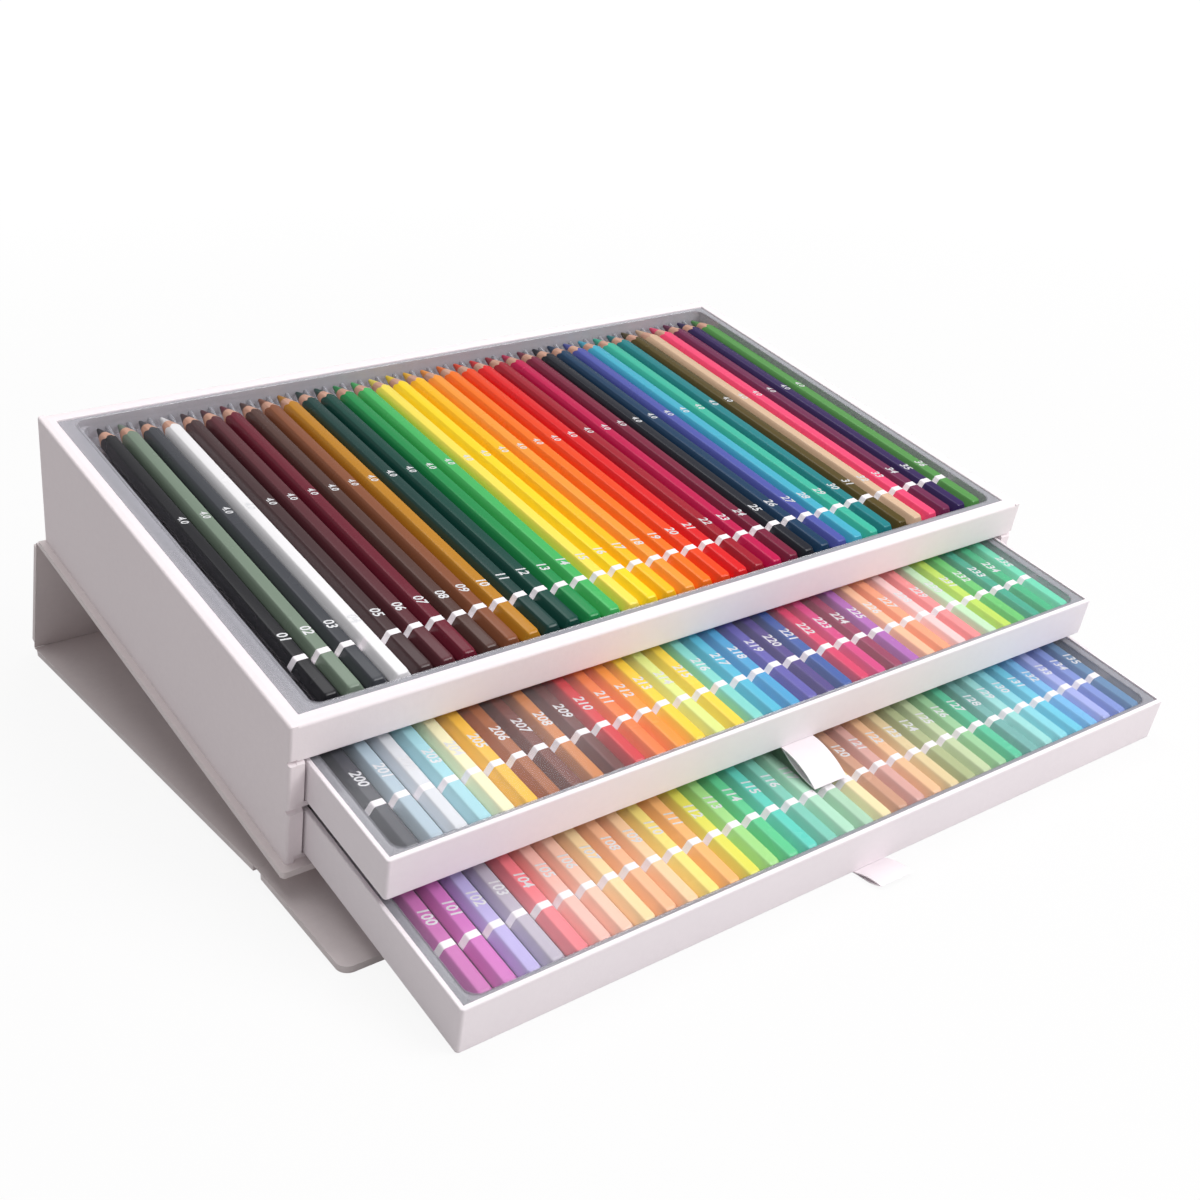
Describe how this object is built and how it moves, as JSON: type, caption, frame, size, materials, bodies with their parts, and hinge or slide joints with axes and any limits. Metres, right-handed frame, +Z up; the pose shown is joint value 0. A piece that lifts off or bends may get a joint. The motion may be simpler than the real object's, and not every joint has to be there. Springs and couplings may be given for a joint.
{
  "type": "pencil drawer box",
  "caption": "Paper-covered board box of coloured pencils: an open top tray over two sliding drawers, held up at a slant by its folded-back cover.",
  "frame": {"origin": "centre of the bounding box on the table, in the stand pose", "axes": "+X to the right along the box's width, +Y back from the drawers' fronts to the spine, +Z up from the table; the case is tipped 11.96 degrees about X, rear up"},
  "size_m": [0.315, 0.3172, 0.1082],
  "materials": {
    "case_board": "matt white paper over greyboard",
    "drawer_board": "matt white paper over greyboard",
    "cover_board": "matt white lining paper over greyboard",
    "cover_wrap": "matt white wrapping paper",
    "clear_film": "clear vacuum-formed sheet",
    "magnet": "nickel plated",
    "pull_ribbon": "white ribbon",
    "top_greys_lacquer": "gloss lacquer on a hexagonal wooden casing",
    "top_browns_lacquer": "gloss lacquer on a hexagonal wooden casing",
    "top_greens_lacquer": "gloss lacquer on a hexagonal wooden casing",
    "top_yellows_lacquer": "gloss lacquer on a hexagonal wooden casing",
    "top_reds_lacquer": "gloss lacquer on a hexagonal wooden casing",
    "top_blues_lacquer": "gloss lacquer on a hexagonal wooden casing",
    "middle_greys_lacquer": "gloss lacquer on a hexagonal wooden casing",
    "middle_browns_lacquer": "gloss lacquer on a hexagonal wooden casing",
    "middle_oranges_lacquer": "gloss lacquer on a hexagonal wooden casing",
    "middle_blues_lacquer": "gloss lacquer on a hexagonal wooden casing",
    "middle_pinks_lacquer": "gloss lacquer on a hexagonal wooden casing",
    "middle_greens_lacquer": "gloss lacquer on a hexagonal wooden casing",
    "bottom_violets_lacquer": "gloss lacquer on a hexagonal wooden casing",
    "bottom_peaches_lacquer": "gloss lacquer on a hexagonal wooden casing",
    "bottom_limes_lacquer": "gloss lacquer on a hexagonal wooden casing",
    "bottom_earths_lacquer": "gloss lacquer on a hexagonal wooden casing",
    "bottom_greens_lacquer": "gloss lacquer on a hexagonal wooden casing",
    "bottom_blues_lacquer": "gloss lacquer on a hexagonal wooden casing"
  },
  "bodies": {
    "case": {"bottom_bay_back_liner": "case_board", "bottom_bay_left_liner": "case_board", "bottom_bay_right_liner": "case_board", "case_back_wall": "case_board", "case_floor": "case_board", "case_front_strip": "case_board", "case_left_wall": "case_board", "case_right_wall": "case_board", "cover_base_board": "cover_board", "cover_base_wrap": "cover_wrap", "middle_bay_back_liner": "case_board", "middle_bay_left_liner": "case_board", "middle_bay_right_liner": "case_board", "middle_shelf": "case_board", "strip_magnets": "magnet", "top_blues_pencils": "top_blues_lacquer", "top_browns_pencils": "top_browns_lacquer", "top_greens_pencils": "top_greens_lacquer", "top_greys_pencils": "top_greys_lacquer", "top_insert": "clear_film", "top_reds_pencils": "top_reds_lacquer", "top_tray": "drawer_board", "top_yellows_pencils": "top_yellows_lacquer"},
    "middle_drawer": {"middle_blues_pencils": "middle_blues_lacquer", "middle_browns_pencils": "middle_browns_lacquer", "middle_cover_sheet": "clear_film", "middle_drawer_tray": "drawer_board", "middle_greens_pencils": "middle_greens_lacquer", "middle_greys_pencils": "middle_greys_lacquer", "middle_insert": "clear_film", "middle_oranges_pencils": "middle_oranges_lacquer", "middle_pinks_pencils": "middle_pinks_lacquer", "middle_pull": "pull_ribbon"},
    "bottom_drawer": {"bottom_blues_pencils": "bottom_blues_lacquer", "bottom_cover_sheet": "clear_film", "bottom_drawer_tray": "drawer_board", "bottom_earths_pencils": "bottom_earths_lacquer", "bottom_greens_pencils": "bottom_greens_lacquer", "bottom_insert": "clear_film", "bottom_limes_pencils": "bottom_limes_lacquer", "bottom_peaches_pencils": "bottom_peaches_lacquer", "bottom_pull": "pull_ribbon", "bottom_violets_pencils": "bottom_violets_lacquer"},
    "cover_spine": {"cover_spine_board": "cover_board", "cover_spine_wrap": "cover_wrap"},
    "cover_lid": {"cover_lid_board": "cover_board", "cover_lid_wrap": "cover_wrap"},
    "cover_flap": {"cover_flap_board": "cover_board", "cover_flap_wrap": "cover_wrap", "flap_magnets": "magnet"}
  },
  "joints": [
    {"name": "middle_drawer_slide", "type": "slide", "parent": "case", "child": "middle_drawer", "axis": [0, 0.9783, 0.2072], "range_m": [-0.1192, 0.0461], "deforming": ["middle_pull"]},
    {"name": "bottom_drawer_slide", "type": "slide", "parent": "case", "child": "bottom_drawer", "axis": [0, 0.9783, 0.2072], "range_m": [-0.0784, 0.0869], "deforming": ["bottom_pull"]},
    {"name": "cover_hinge", "type": "hinge", "parent": "case", "child": "cover_spine", "pos_m": [0, 0.13479, 0.05498], "axis": [1, 0, 0], "range_deg": [0, 168.6]},
    {"name": "lid_hinge", "type": "hinge", "parent": "cover_spine", "child": "cover_lid", "pos_m": [0, 0.15753, 0.00233], "axis": [1, 0, 0], "range_deg": [0, 204.76]},
    {"name": "flap_hinge", "type": "hinge", "parent": "cover_lid", "child": "cover_flap", "pos_m": [0, -0.04501, 0.00728], "axis": [1, 0, 0], "range_deg": [-6.54, 83.46]}
  ]
}
